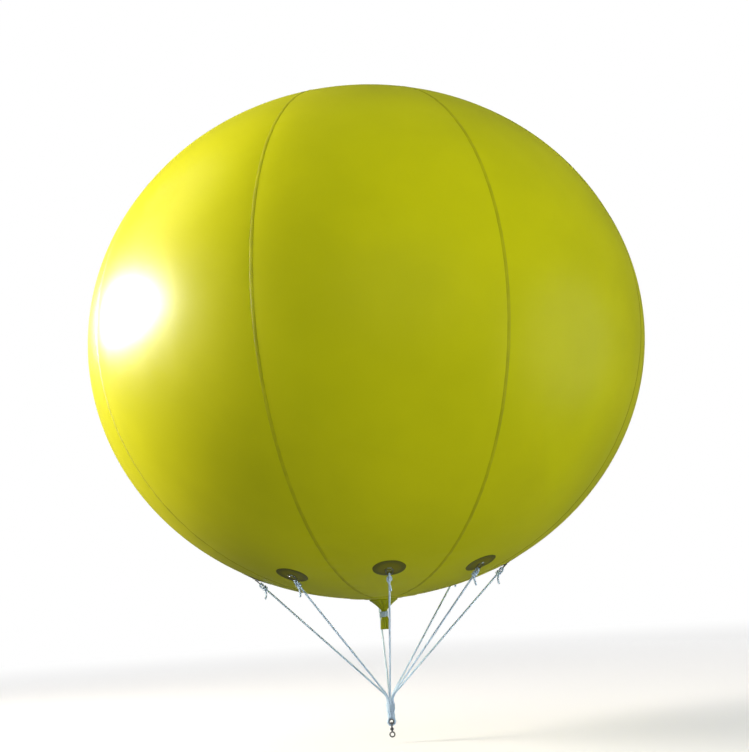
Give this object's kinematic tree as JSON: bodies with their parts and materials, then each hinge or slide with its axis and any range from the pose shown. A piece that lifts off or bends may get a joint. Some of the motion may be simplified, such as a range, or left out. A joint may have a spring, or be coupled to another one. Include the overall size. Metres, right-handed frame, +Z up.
{
  "type": "advertising balloon",
  "caption": "Round gored PVC balloon, wider than tall, with a tied filling neck and a rope bridle that gathers to a swivel eye for its tether.",
  "frame": {"origin": "centre of the envelope, which is the centre of its lift", "axes": "+Z up along the axis from the neck to the crown; -Y out of the middle of gore 1 and its rope patch; the tether eye's flat cheeks face -Y and +Y at rest"},
  "size_m": [3, 3, 3.4824],
  "materials": {
    "film": "glossy, slightly translucent PVC film, welded",
    "film_patch": "satin, doubled PVC, darker than the film",
    "rope": "matt twisted synthetic rope, pale blue white",
    "steel": "satin steel wire and forgings"
  },
  "bodies": {
    "balloon": {"gore_1": "film", "gore_2": "film", "gore_3": "film", "gore_4": "film", "gore_5": "film", "gore_6": "film", "gore_7": "film", "gore_8": "film", "rope_patch_1": "film_patch", "rope_patch_2": "film_patch", "rope_patch_3": "film_patch", "rope_patch_4": "film_patch", "rope_patch_5": "film_patch", "rope_patch_6": "film_patch", "rope_patch_7": "film_patch", "rope_patch_8": "film_patch", "patch_ring_1": "steel", "patch_ring_2": "steel", "patch_ring_3": "steel", "patch_ring_4": "steel", "patch_ring_5": "steel", "patch_ring_6": "steel", "patch_ring_7": "steel", "patch_ring_8": "steel", "bridle_rope_1": "rope", "bridle_rope_2": "rope", "bridle_rope_3": "rope", "bridle_rope_4": "rope", "bridle_rope_5": "rope", "bridle_rope_6": "rope", "bridle_rope_7": "rope", "bridle_rope_8": "rope", "crown_disc": "film", "base_disc": "film", "filling_neck": "film", "neck_tie": "rope", "rope_bundle": "rope", "bridle_whipping": "rope", "eye_thimble": "steel"},
    "swivel_bow": {"swivel_bow": "steel"},
    "tether_eye": {"tether_eye": "steel"}
  },
  "joints": [
    {"name": "swivel_swing", "type": "hinge", "parent": "balloon", "child": "swivel_bow", "pos_m": [0, 0, -2.0175], "axis": [0, 1, 0], "range_deg": [-90, 90]},
    {"name": "swivel_spin", "type": "hinge", "parent": "swivel_bow", "child": "tether_eye", "pos_m": [0, 0, -2.0569], "axis": [0, 0, 1], "continuous": true}
  ]
}
